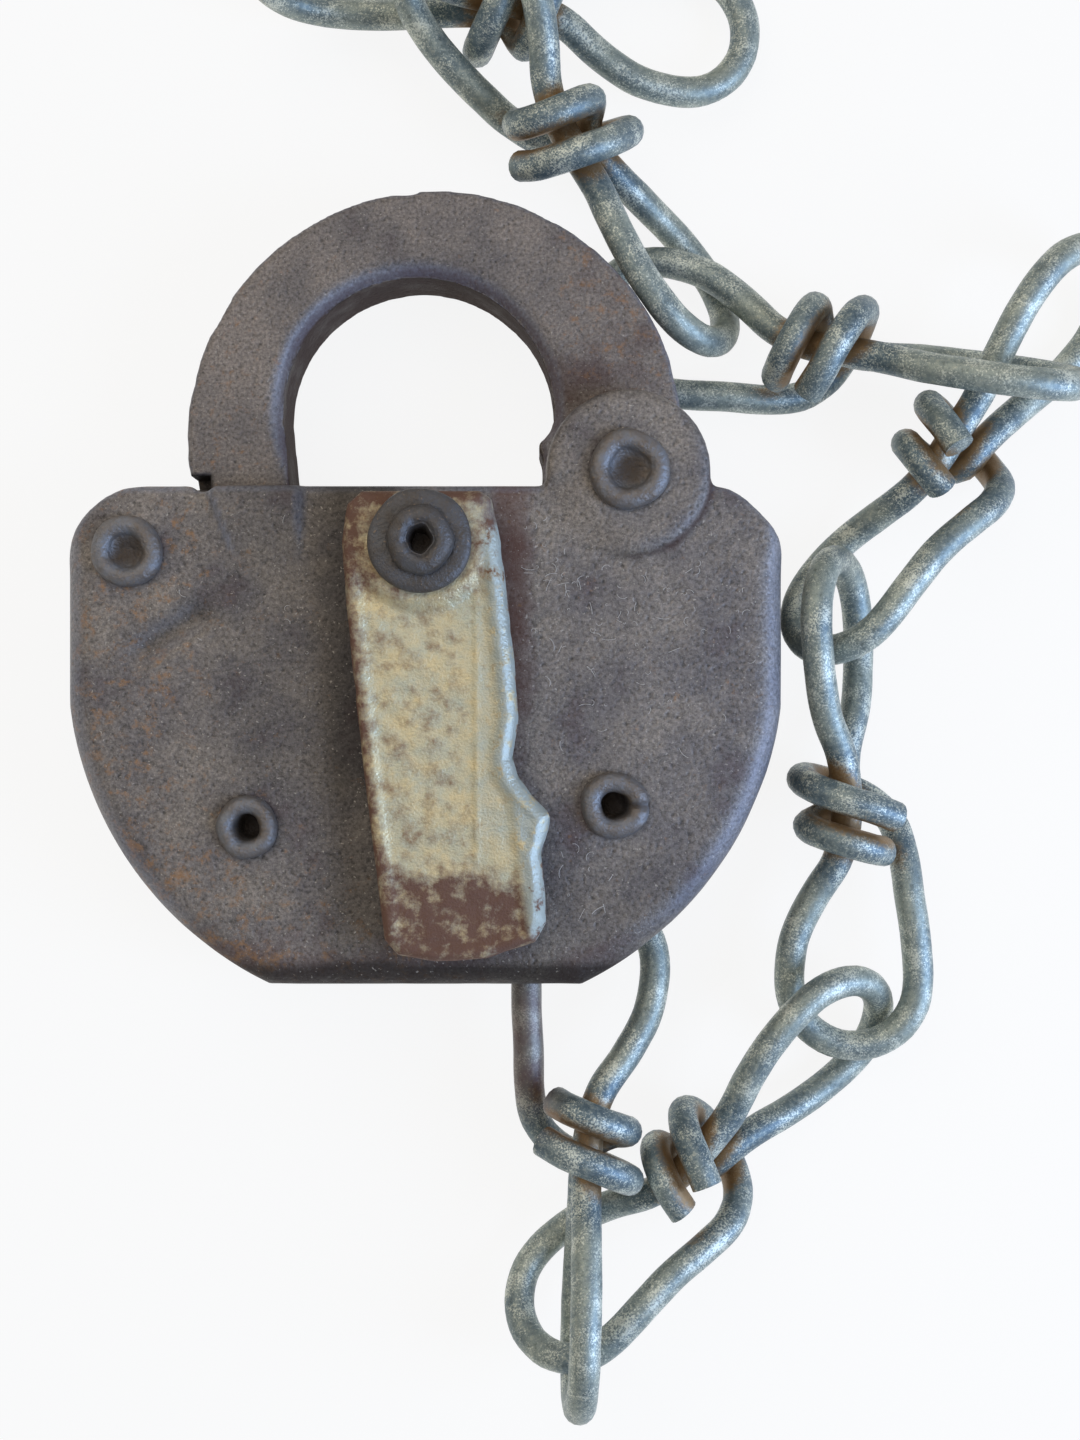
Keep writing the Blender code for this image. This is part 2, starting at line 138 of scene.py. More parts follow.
def metal(tree, colour, share, roughness, relief, strength, depth):
    """Finish a material as metal for the given share, its relief of the given depth in mm."""
    bump = node(tree, "Bump", {"Strength": strength, "Distance": depth * MM}, {"Height": relief})
    surface = node(tree, "BsdfPrincipled", {"Metallic": share}, {
        "Base Color": colour, "Roughness": roughness, "Normal": bump.outputs[0]})
    node(tree, "OutputMaterial", {}, {"Surface": surface.outputs[0]})


def blank(name):
    """A new empty material and its node tree."""
    made = bpy.data.materials.new(name)
    made.use_nodes = True
    made.node_tree.nodes.clear()
    return made, made.node_tree


# White paper on a table, with soft daylight from a window to the right and a pale room above.
# The paper shows near white to the camera and to the metal, and still takes the lock's shadow.
PAPER_SIDE = 3000.0
PAPER_GAP = 0.02
PAPER_OWN_LIGHT = 0.88
ROOM_LIGHT = 0.36


def seen_directly(tree):
    """1 for camera, mirror and glass rays, so that they see the white background."""
    path = node(tree, "LightPath")
    seen = path.outputs["Is Camera Ray"]
    for ray in ("Is Glossy Ray", "Is Transmission Ray"):
        seen = node(tree, "Math", {"operation": "MAXIMUM"}, {0: seen, 1: path.outputs[ray]}).outputs[0]
    return seen


paper_mat, tree = blank("white_paper")
dull = node(tree, "BsdfDiffuse", {"Color": linear("#f2f2f0")})
own = node(tree, "Emission", {"Color": linear("#ffffff")})
share = times(tree, seen_directly(tree), PAPER_OWN_LIGHT)
paper_mix = node(tree, "MixShader", {}, {0: share, 1: dull.outputs[0], 2: own.outputs[0]})
node(tree, "OutputMaterial", {}, {"Surface": paper_mix.outputs[0]})

table_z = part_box("back_plate")[0].z - PAPER_GAP * MM
bpy.ops.mesh.primitive_plane_add(size=PAPER_SIDE * MM, location=(0, 0, table_z))
paper = bpy.context.object
paper.name = "paper"
paper.data.materials.append(paper_mat)

world = bpy.data.worlds.new("pale_room")
world.use_nodes = True
world.node_tree.nodes.clear()
tree = world.node_tree
room = node(tree, "Background", {"Color": linear("#f4f2ee"), "Strength": ROOM_LIGHT})
white = node(tree, "Background", {"Color": linear("#ffffff"), "Strength": 1.0})
path = node(tree, "LightPath")
room_mix = node(tree, "MixShader", {}, {
    0: path.outputs["Is Camera Ray"], 1: room.outputs[0], 2: white.outputs[0]})
node(tree, "OutputWorld", {}, {"Surface": room_mix.outputs[0]})
bpy.context.scene.world = world


def window(name, place, width, height, power, colour):
    """A soft rectangular light facing the lock."""
    lamp = bpy.data.lights.new(name, "AREA")
    lamp.shape = "RECTANGLE"
    lamp.size = width * MM
    lamp.size_y = height * MM
    lamp.energy = power
    lamp.color = linear(colour)[:3]
    stand = bpy.data.objects.new(name, lamp)
    stand.location = Vector(place) * MM
    stand.rotation_euler = (-stand.location).to_track_quat("-Z", "Y").to_euler()
    bpy.context.scene.collection.objects.link(stand)


window("sky_window", (310, -90, 185), 170, 330, 1.25, "#b4d2ff")
window("ceiling", (-160, 230, 420), 500, 500, 0.85, "#fff3e2")


# The front shell is a drawing-steel pressing about 2 mm thick, drawn to a rolled rim and punched.
# Years outside have left it brown-black, with fine pits, a dent, rubbed edges, dust and orange rust. Its rim
# and a crease carry a painted bluish highlight, and painted shade lies in the dent, in the boss's step, on
# its undersides and beside the cover; it is darker along the foot.
SHELL_GRAIN = 0.42
FACE_Z = 17.5
CASE_R = 36.4
CASE_SIDE = 36.1
CASE_TOP = 17.5
LEFT_CORNER_R = 7.8
RIGHT_CORNER_R = 7.0
FOOT_Y = -32.8
RIM_R = 3.0
TOP_EDGE_R = 1.0
LEFT_SLANT = 0.2
RIGHT_SLANT = 0.65
BOSS_X, BOSS_Y = 20.45, 18.9
BOSS_R = 8.3
BOSS_RISE = 0.8
TOE_ARCH = 0.85
CREASE_X = -21.9
CREASE_SLOPE = 0.36
DENT_X, DENT_Y = -25.4, 2.8
DENT_LEAN = math.radians(33.0)
DENT_DEPTH = 0.75


def worked(part, grain, passes):
    """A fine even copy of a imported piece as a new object, its edges softened by smoothing."""
    copy = bpy.data.objects.new(part + "_worn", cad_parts[part].data.copy())
    bpy.context.scene.collection.objects.link(copy)
    shape = bmesh.new()
    shape.from_mesh(copy.data)
    bmesh.ops.remove_doubles(shape, verts=shape.verts, dist=0.001 * MM)
    shape.to_mesh(copy.data)
    shape.free()
    skin = copy.modifiers.new("even_skin", "REMESH")
    skin.mode = "VOXEL"
    skin.voxel_size = grain * MM
    skin.use_smooth_shade = True
    soft = copy.modifiers.new("softened", "SMOOTH")
    soft.factor = 0.5
    soft.iterations = passes
    bpy.context.view_layer.update()
    mesh = bpy.data.meshes.new_from_object(copy.evaluated_get(bpy.context.evaluated_depsgraph_get()))
    copy.modifiers.clear()
    copy.data = mesh
    mesh.materials.clear()
    return copy


def points(mesh):
    """The mesh's points in mm, and its point normals."""
    spots = np.empty(len(mesh.vertices) * 3)
    mesh.vertices.foreach_get("co", spots)
    facing = np.empty(len(mesh.vertices) * 3)
    mesh.vertices.foreach_get("normal", facing)
    return spots.reshape(-1, 3) / MM, facing.reshape(-1, 3)


def put_points(mesh, spots):
    """Write moved points, in mm, back to the mesh."""
    mesh.vertices.foreach_set("co", (spots * MM).ravel())
    mesh.update()


def mark(mesh, name, values):
    """Keep a 0 to 1 mask on the mesh's points for its material."""
    mask = mesh.attributes.new(name, "FLOAT", "POINT")
    mask.data.foreach_set("value", np.clip(values, 0, 1).astype(np.float32))


def fade(value, start, end):
    """Smooth 0 to 1 as the value goes from start to end."""
    share = np.clip((value - start) / (end - start), 0, 1)
    return share * share * (3 - 2 * share)


def ripple(spots, size, seed):
    """Smooth noise between -1 and 1 with lumps of the given size in mm."""
    shift = Vector((seed * 7.3, seed * 3.1, seed * 5.7))
    return np.array([noise.noise(Vector(p) / size + shift) for p in spots])


def over_dent(x, y):
    """How far each place lies within the dent's length, 0 to 1, and its distance across in mm."""
    dx, dy = x - DENT_X, y - DENT_Y
    along = dx * math.cos(DENT_LEAN) + dy * math.sin(DENT_LEAN)
    across = dy * math.cos(DENT_LEAN) - dx * math.sin(DENT_LEAN)
    return fade(np.abs(along), 6.0, 2.5), across


def face_rise(x, y):
    """How far the shell's front face stands off the flat at each place, in mm."""
    crease = CREASE_X + (CASE_TOP - y) * CREASE_SLOPE
    rise = TOE_ARCH * fade(x, crease - 0.2, crease + 0.5) * fade(x, -11.9, -12.9) * fade(y, 8.5, 15.5)
    run, across = over_dent(x, y)
    rise -= DENT_DEPTH * run * np.exp(-(across / 1.3) ** 2)
    rise += 0.12 * run * np.exp(-((across + 2.0) / 0.4) ** 2)
    return rise


def rim_inset(x, y):
    """Distance in from the case's outline: its round, straight sides, corners, top and foot, in mm."""
    from_side = CASE_SIDE - np.abs(x)
    from_top = CASE_TOP - y
    corner_r = np.where(x < 0, LEFT_CORNER_R, RIGHT_CORNER_R)
    in_corner = (from_side < corner_r) & (from_top < corner_r)
    corner = corner_r - np.hypot(corner_r - from_side, corner_r - from_top)
    upper = np.where(in_corner, corner, np.minimum(from_side, from_top))
    lower = np.minimum(from_side, CASE_R - np.hypot(x, y))
    return np.minimum(np.where(y > 0, upper, lower), y - FOOT_Y)


def rolled_down(z, top, inset, radius):
    """Heights pressed down to a round edge of the given radius, by distance in from the outline."""
    short = np.clip(radius - inset, 0, radius)
    return np.minimum(z, top - radius + np.sqrt(radius ** 2 - short ** 2))


shell = worked("front_shell", SHELL_GRAIN, 5)
spots, facing = points(shell.data)
x, y, z = spots.T
corner_turn = np.degrees(np.arctan2(y - CASE_TOP + RIGHT_CORNER_R, np.abs(x) - CASE_SIDE + RIGHT_CORNER_R))
slant = np.where(x < 0, LEFT_SLANT, RIGHT_SLANT) * fade(np.abs(corner_turn - 45), 48, 0)
slant *= fade(rim_inset(x, y), 6, 0.5)
spots[:, 0] -= slant * np.sign(x) * math.sqrt(0.5)
spots[:, 1] -= slant * math.sqrt(0.5)
reach = np.hypot(x - BOSS_X, y - BOSS_Y)
bearing = np.degrees(np.arctan2(y - BOSS_Y, x - BOSS_X))
on_boss = reach < BOSS_R + 0.3
edge_r = TOP_EDGE_R + (RIM_R - TOP_EDGE_R) * fade(y, 16.5, 8.0)
z = np.where(on_boss, z, rolled_down(z, FACE_Z, rim_inset(x, y), edge_r))
no_step = fade(bearing, -80, -125) * fade(bearing, -179, -168) * (reach < BOSS_R + 1.0) * (z > FACE_Z - 1.5)
slope = FACE_Z + BOSS_RISE * (1 - fade(reach, BOSS_R - 4.2, BOSS_R + 0.6))
spots[:, 2] = z = z + no_step * (np.minimum(slope, z) - z)
front = fade(z, FACE_Z - 2.6, FACE_Z - 0.6)
wave = 0.11 * ripple(spots, 13.0, 1) + 0.05 * ripple(spots, 3.6, 2)
spots[:, 2] += front * (face_rise(x, y) + np.minimum(wave, 0.12))
side = np.abs(facing[:, 2]) < 0.8
outward = np.hypot(x, y) > 30
knock = 0.09 * ripple(spots, 5.0, 3)
spots[:, :2] -= (side * outward * (np.maximum(knock, 0) + 0.02))[:, None] * facing[:, :2]
put_points(shell.data, spots)
spots, facing = points(shell.data)
nz = facing[:, 2]
# Bluish painted highlight on the rounded rim, left off along the shaded foot, and a painted highlight line on
# the toe arch's left crease, over rubbed wear
crease = np.abs(x - (CREASE_X + 0.3) - (CASE_TOP - y) * CREASE_SLOPE)
rim = 0.55 * fade(nz, 0.2, 0.45) * fade(nz, 0.97, 0.85) * (z > 12) * ~on_boss * fade(y, -28, -24)
mark(shell.data, "rubbed_and_highlight", rim + 0.8 * fade(crease, 0.5, 0.1) * fade(y, 9.5, 12))
near_cover = fade(x, 12.8, 8.8) * fade(x, 6.0, 7.8) * fade(y, -16, -4)
# The step round the boss's lower right: red rust in it, and painted shade along it
step = np.exp(-((reach - BOSS_R - 0.25) / 0.4) ** 2) * fade(bearing, -125, -80) * fade(bearing, 5, -15)
mark(shell.data, "red_rust", near_cover + 0.5 * fade(y, -24, -31) + 0.8 * step)
left_rust = fade(x, -10, -30) * 0.8
foot_rust = fade(y, -14, -27) * 0.7 * fade(x, 12, 0)
mark(shell.data, "orange_rust", left_rust + foot_rust - 1.2 * near_cover)
# Painted shadow of the cover on the face to its left, painted shade across the mid-left, and painted shade
# under and beside the cover's lower half
cover_shade = 0.5 * fade(x, -12.0, -7.8) + 0.3 * fade(x, -26, -16) * fade(y, -18, -10)
cover_shade *= fade(x, -1.0, -3.5)
cover_shade += 0.25 * fade(y, -15, -26) * fade(x, -8, 2)
# Painted shade in the dent
run, across = over_dent(x, y)
dented = run * np.exp(-((across - 0.3) / 1.5) ** 2)
# Darker along the foot's roll
foot_roll = fade(y, FOOT_Y + 3.2, FOOT_Y + 1.4)
# Painted shade on faces turned down and low on the walls
turned_under = 0.7 * fade(nz, 0.1, -0.3)
painted_shade_and_grime = cover_shade + 0.5 * dented + 0.95 * foot_roll + 0.65 * step + turned_under + 0.7 * fade(z, 9, 3)
mark(shell.data, "painted_shade_and_grime", painted_shade_and_grime)


def old_steel(name, brown, black, red, orange, rubbed_and_highlight, gloss):
    """Old bare steel: a dark oxide skin, red and orange rust on it, rubbed edges under a painted highlight,
    painted shade with grime, and settled dust.
    """
    made, tree = blank(name)
    lumps = lumps_of(tree, 9, 6.0, 0.62)
    grit = lumps_of(tree, 0.34, 4.0, 0.7)
    flakes = lumps_of(tree, 1.3, 8.0, 0.75)
    specks = lumps_of(tree, 0.28, 1.0)
    here = node(tree, "TexCoord").outputs["Object"]
    cells = node(tree, "TexVoronoi", {"Scale": 1 / (0.7 * MM), "feature": "SMOOTH_F1"}, {"Vector": here})
    pits = cells.outputs["Distance"]

    # Oxide skin, from brown to near black in soft lumps, broken up by grit and pits
    skin = blend(tree, spread(tree, lumps, 0.36, 0.64), brown, black)
    for shade in (spread(tree, grit, 0.3, 0.7, 0.42, 1.55), spread(tree, pits, 0.04, 0.24, 0.5)):
        skin = node(tree, "VectorMath", {"operation": "SCALE"}, {0: skin, "Scale": shade}).outputs[0]

    # Red rust bloom where water sits, orange flakes where it is fresh
    red_mix = spread(tree, plus(tree, lumps, 0.34, mask_of(tree, "red_rust")), 0.56, 0.86, 0.0, 0.75)
    rusty = blend(tree, red_mix, skin, red)
    orange_sum = plus(tree, flakes, 0.11, mask_of(tree, "orange_rust"))
    flaked = blend(tree, spread(tree, orange_sum, 0.61, 0.74, 0.0, 0.72), rusty, orange)

    # Edges rubbed grey under a bluish painted highlight; hollows, undersides and the face beside the cover
    # darkened with painted shade and grime
    rubbed_and_highlit = blend(tree, times(tree, mask_of(tree, "rubbed_and_highlight"), grit), flaked, rubbed_and_highlight)
    shaded_and_dirty = blend(tree, times(tree, mask_of(tree, "painted_shade_and_grime"), 0.82), rubbed_and_highlit, "#1d1612")

    # Dust grains settled on what faces up
    normal = node(tree, "SeparateXYZ", {}, {0: node(tree, "NewGeometry").outputs["Normal"]})
    grains = spread(tree, specks, 0.68, 0.78, 0.0, 0.55)
    dusty = blend(tree, times(tree, grains, normal.outputs[2]), shaded_and_dirty, "#c9c2b8")

    # The oxide is a dull part-metal skin, duller still under rust
    dullness = spread(tree, red_mix, 0.0, 0.8, gloss, 0.85)
    relief = plus(tree, grit, 0.5, spread(tree, pits, 0.05, 0.4))
    metal(tree, dusty, 0.35, dullness, relief, 0.7, 0.12)
    return made


# The bluish rubbed colour stands for the painted highlight, and the near-black for painted shade
case_skin = old_steel("pressed_steel_oxidised", "#8a827a", "#646164", "#6c4a3c", "#a07850", "#98a0b4", 0.48)
shell.data.materials.append(case_skin)
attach(shell, "case")
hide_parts("front_shell")
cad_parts["back_plate"].data.materials.clear()
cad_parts["back_plate"].data.materials.append(case_skin)


# The shackle is a flat steel bar, forged round its eye and ground flat, with a filed notch at its toe.
# Its edges are nicked and rubbed under a bluish painted highlight, and the wall of the eye is reddish where
# hasps have worn it; painted shade lies in the notch, on the eye's wall and where the bar goes into the case.
SHACKLE_GRAIN = 0.36
SHACKLE_TOP = 14.3
EYE_X, EYE_Y = -0.85, 25.5
EYE_R = 13.9
TOE_NOTCH = (-26.0, -21.9, 17.4, 18.9)
NOTCH_DEPTH = 4.5

shackle = worked("shackle", SHACKLE_GRAIN, 4)
low_x, high_x, low_y, high_y = TOE_NOTCH
cutter = bmesh.new()
middle = Vector(((low_x + high_x) / 2, (low_y + high_y) / 2, SHACKLE_TOP)) * MM
sides = Vector((high_x - low_x, high_y - low_y, 2 * NOTCH_DEPTH)) * MM
bmesh.ops.create_cube(
    cutter, size=1.0, matrix=Matrix.Translation(middle) @ Matrix.Diagonal((*sides, 1.0)))
file_mesh = bpy.data.meshes.new("file")
cutter.to_mesh(file_mesh)
cutter.free()
file_tool = bpy.data.objects.new("file", file_mesh)
bpy.context.scene.collection.objects.link(file_tool)
filed = shackle.modifiers.new("filed_notch", "BOOLEAN")
filed.object = file_tool
bpy.context.view_layer.update()
shackle.data = bpy.data.meshes.new_from_object(shackle.evaluated_get(bpy.context.evaluated_depsgraph_get()))
shackle.modifiers.clear()
bpy.data.objects.remove(file_tool)
spots, facing = points(shackle.data)
x, y, z = spots.T
wave = 0.10 * ripple(spots, 9.0, 4) + 0.05 * ripple(spots, 2.6, 5)
spots -= facing * np.maximum(wave, -0.06)[:, None]
from_eye = np.hypot(x - EYE_X, y - EYE_Y)
outer = (from_eye > 20) * (np.abs(facing[:, 2]) < 0.9) * (y > 20)
nick = np.maximum(ripple(spots * np.array([1, 1, 0.25]), 3.4, 6) - 0.12, 0)
spots[:, :2] -= (outer * 0.75 * nick)[:, None] * facing[:, :2]
eased = rolled_down(spots[:, 2], SHACKLE_TOP, np.abs(from_eye - EYE_R), 1.9)
spots[:, 2] = np.where(z > 9, eased, spots[:, 2])
dx, dy = x - BOSS_X, y - BOSS_Y
swell = 0.95 * np.exp(-((np.degrees(np.arctan2(dy, dx)) - 157) / 9.0) ** 2) * fade(np.hypot(dx, dy), 7.0, 8.4)
spots[:, 0] -= swell * (np.hypot(dx, dy) < 9.2)
put_points(shackle.data, spots)
spots, facing = points(shackle.data)
nz = facing[:, 2]
# The filed notch, painted near black for its deep shadow
notch = fade(x, high_x + 0.4, high_x) * fade(y, low_y - 0.5, low_y) * fade(y, high_y + 0.3, high_y - 0.2)
# Bluish painted highlight on the rounded top edges, over rubbed wear
mark(shackle.data, "rubbed_and_highlight", 0.7 * fade(nz, 0.2, 0.45) * fade(nz, 0.98, 0.8) * (z > 12))
mark(shackle.data, "red_rust", (from_eye < 15.5) * fade(np.abs(nz), 0.9, 0.6) + 0.35 * fade(x, 8, 18))
mark(shackle.data, "orange_rust", fade(x, -10, -20) * 0.5 + fade(x, 10, 16) * fade(y, 24, 32) * 0.8)
# Painted shade on the undersides, where the bar goes down into the case, in the notch and on the wall of the
# eye
mark(shackle.data, "painted_shade_and_grime", 0.7 * fade(nz, 0.1, -0.3) + 0.5 * fade(y, 18.2, 17.0) + 1.4 * notch
     + 0.6 * (from_eye < 15.2) * fade(nz, 0.5, 0.1))
shackle.data.materials.append(
    old_steel("forged_steel_oxidised", "#877e77", "#666262", "#5f3e30", "#9b734f", "#8d94a6", 0.52))
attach(shackle, "shackle")
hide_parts("shackle")


# The rivets are drawn steel tube, their flanges rolled over by the press and dark from handling.
# Two keep an open bore, two are closed by a dimple, and the cover turns on a stud with a hollow head.
RIVET_STEPS = 72
RIVET_HEIGHT = 1.45
AXIS_R = 0.02
SEAT_GAP = 0.05
SHARP_EDGE = math.radians(50)


def rolled(name, place, profile, skin, part, wobble, seed, split=0.0):
    """A turned rivet, washer or stud on an upright axis, out of round, its flange split to the right."""
    seat = max(h for r, h in profile) - 1.0
    rings = []
    for r, h in profile:
        ring = []
        for i in range(RIVET_STEPS):
            turn = 2 * math.pi * i / RIVET_STEPS
            way = Vector((math.cos(turn), math.sin(turn), seed + h * 0.2))
            out = r + wobble * min(r, 1.5) * noise.noise(way * 1.3)
            sag = split * math.exp(-(math.remainder(turn, math.tau) / 0.13) ** 2) * (h > seat)
            dip = 0.5 * wobble * noise.noise(way * 2.1 + Vector((5, 0, 0))) * (h > seat)
            ring.append((out * way.x, out * way.y, h - sag + dip))
        rings.append(ring)
    verts = [tuple(c * MM for c in p) for ring in rings for p in ring]
    faces = []
    for j in range(len(rings) - 1):
        for i in range(RIVET_STEPS):
            k = (i + 1) % RIVET_STEPS
            a, b = j * RIVET_STEPS, (j + 1) * RIVET_STEPS
            faces.append((a + i, b + i, b + k, a + k))
    last = (len(rings) - 1) * RIVET_STEPS
    if profile[0][0] <= AXIS_R:
        faces.append(tuple(range(RIVET_STEPS)))
        faces.append(tuple(last + i for i in reversed(range(RIVET_STEPS))))
    else:
        for i in range(RIVET_STEPS):
            k = (i + 1) % RIVET_STEPS
            faces.append((last + i, i, k, last + k))
    mesh = bpy.data.meshes.new(name)
    mesh.from_pydata(verts, [], faces)
    shape = bmesh.new()
    shape.from_mesh(mesh)
    bmesh.ops.remove_doubles(shape, verts=shape.verts, dist=0.02 * MM)
    bmesh.ops.recalc_face_normals(shape, faces=shape.faces)
    shape.to_mesh(mesh)
    shape.free()
    mesh.shade_smooth()
    mesh.set_sharp_from_angle(angle=SHARP_EDGE)
    made = bpy.data.objects.new(name, mesh)
    made.location = (place[0] * MM, place[1] * MM, 0)
    bpy.context.scene.collection.objects.link(made)
    mesh.materials.append(skin)
    spots, facing = points(mesh)
    lip = max(profile, key=lambda p: p[1])[0]
    from_axis = np.hypot(spots[:, 0], spots[:, 1])
    # Painted shade, with brown grit, in each bore, dimple and hollow head
    mark(mesh, "bore_shade_and_grit", fade(from_axis, lip * 0.75, lip * 0.3) * (spots[:, 2] > 5))
    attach(made, "case")
    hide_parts(part)


def curl(cx, cz, r, start, end, steps=7):
    """Points of a rolled edge, angles in degrees."""
    turns = [math.radians(start + (end - start) * i / steps) for i in range(steps + 1)]
    return [(cx + r * math.cos(t), cz + r * math.sin(t)) for t in turns]


def handled_steel(name, grey, brown):
    """Turned steel gone dull in the hand, clouded brown and specked with dry rust, with painted shade and
    brown grit in its bore.
    """
    made, tree = blank(name)
    cloud = lumps_of(tree, 2.2, 6.0, 0.65)
    grit = lumps_of(tree, 0.35, 3.0)
    skin = blend(tree, spread(tree, cloud, 0.35, 0.65), grey, brown)
    skin = blend(tree, spread(tree, grit, 0.64, 0.74, 0.0, 0.5), skin, "#a58b70")
    skin = blend(tree, times(tree, mask_of(tree, "bore_shade_and_grit"), 0.8), skin, "#35291f")
    metal(tree, skin, 0.45, 0.45, plus(tree, grit, 2.5, cloud), 0.8, 0.16)
    return made


rivet_skin = handled_steel("handled_steel", "#7f8186", "#74685c")
stud_skin = handled_steel("handled_steel_dark", "#5f6064", "#57504a")
# Each rivet's place, its flange's and hole's radius, the hole's depth, the shank's radius, its seat and split
RIVETS = (
    ("rivet_top_left", (-29.7, 10.8), 3.6, 1.6, 1.25, 2.2, FACE_Z, 0.0),
    ("rivet_bottom_left", (-17.6, -16.7), 3.1, 1.3, 5.0, 2.2, FACE_Z, 0.0),
    ("rivet_bottom_right", (19.1, -14.5), 3.4, 1.4, 5.0, 2.2, FACE_Z, 0.7),
    ("shackle_rivet", (BOSS_X, BOSS_Y), 4.0, 1.95, 1.35, 3.0, FACE_Z + BOSS_RISE, 0.0),
)
for seed, (part, place, flange, hole, deep, shank, seat, split) in enumerate(RIVETS):
    low = seat + SEAT_GAP
    top = low + RIVET_HEIGHT
    half = (flange - hole) / 2
    floor = top - deep
    crown = [(hole + half + half * c, top - 1.0 + h) for c, h in curl(0.0, 0.0, 1.0, 168, 6, 12)]
    rolled(part + "_rolled", place, [
        (AXIS_R, floor - 0.1), (hole * 0.45, floor - 0.05), (hole * 0.75, floor + 0.12),
        (hole * 0.93, floor + 0.35), *crown, (flange, low + 0.3), (flange - 0.2, low + 0.05),
        (flange - 0.6, low), (shank, low), (shank, 1.7), (shank + 1.1, 0.6), (shank + 1.1, 0.3),
        (AXIS_R, 0.3),
    ], rivet_skin, part, 0.15, seed, split)


# The keyhole cover is a cast brass drop, once plated, that swings on its stud and hangs over the keyhole.
# Its pale bead down the right is a painted highlight of the window, with gold-grey metal and brown rust on
# its face and painted shade on its left edges and sides.
COVER_GRAIN = 0.21
COVER_TOP = 23.0
BEAD = 2.1
PANEL_EDGE = 5.3
PANEL_TOP = 6.5
PANEL_FOOT = -20.0
STUD_AT = (0.0, 11.3)
OUTLINE = np.array((
    (-7.8, 11.2), (-7.3, 15.2), (-5.9, 16.4), (5.8, 16.4), (6.9, 15.6), (7.8, 11.2), (9.1, -0.1),
    (9.5, -5.9), (8.9, -9.7), (9.5, -11.6), (10.8, -13.3), (12.7, -15.2), (12.4, -16.8), (11.7, -19.1),
    (12.1, -22.6), (12.2, -25.8), (11.2, -27.7), (6.4, -29.3), (1.5, -29.7), (-2.3, -29.0),
    (-3.6, -27.5), (-4.4, -21.0), (-5.6, -11.3), (-6.5, -3.3), (-7.3, 4.8),
))


def inset_from(outline, x, y):
    """Each point's distance from the nearest stretch of the outline."""
    best = np.full(len(x), 99.0)
    for (ax, ay), (bx, by) in zip(outline, np.roll(outline, -1, axis=0)):
        ex, ey = bx - ax, by - ay
        share = np.clip(((x - ax) * ex + (y - ay) * ey) / (ex * ex + ey * ey), 0, 1)
        best = np.minimum(best, np.hypot(x - ax - share * ex, y - ay - share * ey))
    return best


cover = worked("keyhole_cover", COVER_GRAIN, 18)
spots, facing = points(cover.data)
x, y, z = spots.T
inset = inset_from(OUTLINE, x, y)
right = inset_from(OUTLINE[5:16], x, y)
top_side = fade(z, COVER_TOP - 1.6, COVER_TOP - 0.4)
below_top = fade(y, PANEL_TOP + 1, PANEL_TOP - 1)
above_foot = fade(y, PANEL_FOOT - 1, PANEL_FOOT + 1)
panel = fade(x, PANEL_EDGE + 0.3, PANEL_EDGE - 0.3) * below_top * above_foot
dish = 0.42 * fade(right, BEAD * 0.7, BEAD * 1.3) + 0.28 * fade(inset, 0.9, 2.0) + 0.16 * panel
dish -= 0.10 * np.exp(-((x - PANEL_EDGE) / 0.3) ** 2) * below_top * above_foot
from_stud = np.hypot(x, y - STUD_AT[1])
keep_flat = fade(from_stud, 5.6, 7.2)
lumps = 0.12 * ripple(spots, 4.0, 7) + 0.10 * ripple(spots, 1.5, 8)
spots[:, 2] -= top_side * keep_flat * (dish + np.maximum(lumps, -0.05))
spots[:, 2] = np.where(z > COVER_TOP - 2.2, rolled_down(spots[:, 2], COVER_TOP, inset, 1.7), spots[:, 2])
edge_band = (np.abs(facing[:, 2]) < 0.85) * (from_stud > 5)
spots[:, :2] -= (edge_band * np.maximum(0.16 * ripple(spots, 2.2, 9), 0))[:, None] * facing[:, :2]
put_points(cover.data, spots)
spots, facing = points(cover.data)
nz = facing[:, 2]
# The pale bead down the right edge is a painted highlight of the window light
mark(cover.data, "bead", (0.25 * fade(x, PANEL_EDGE, PANEL_EDGE + 0.8) * fade(y, -20, -17)
     + fade(right, BEAD * 1.1, BEAD * 0.6)) * (x > 4) * fade(nz, -0.1, 0.25))
left_part = fade(right, 3.6, 6.5)
# Brown rust down the left, round the top and over the foot, with painted shade on the edges away from the
# window and on the steep sides
mark(cover.data, "rust_and_painted_shade", fade(inset, 1.7, 0.3) * 0.6 * fade(right, 0.5, 3) + fade(y, -19.0, -25.0) * 1.2
     + fade(y, 4, 9) * 0.55 + 0.25 * left_part + fade(nz, 0.5, 0.1) * 0.7)

cover_skin, tree = blank("plated_brass_worn")
cloud = lumps_of(tree, 3.2, 8.0, 0.66)
rust_spots = lumps_of(tree, 1.5, 7.0, 0.68)
grit = lumps_of(tree, 0.25, 2.0)
gold = blend(tree, spread(tree, cloud, 0.38, 0.62), "#dccb9f", "#c6c5ad")
rust_and_painted_shade = mask_of(tree, "rust_and_painted_shade")
brown_sum = plus(tree, plus(tree, rust_spots, 0.36, rust_and_painted_shade), 0.35, cloud)
brown_mix = spread(tree, brown_sum, 0.74, 1.04, 0.0, 0.94)
rust_tone = blend(tree, spread(tree, rust_and_painted_shade, 0.1, 0.7), "#8f6238", "#6e4b40")
face = blend(tree, brown_mix, gold, rust_tone)
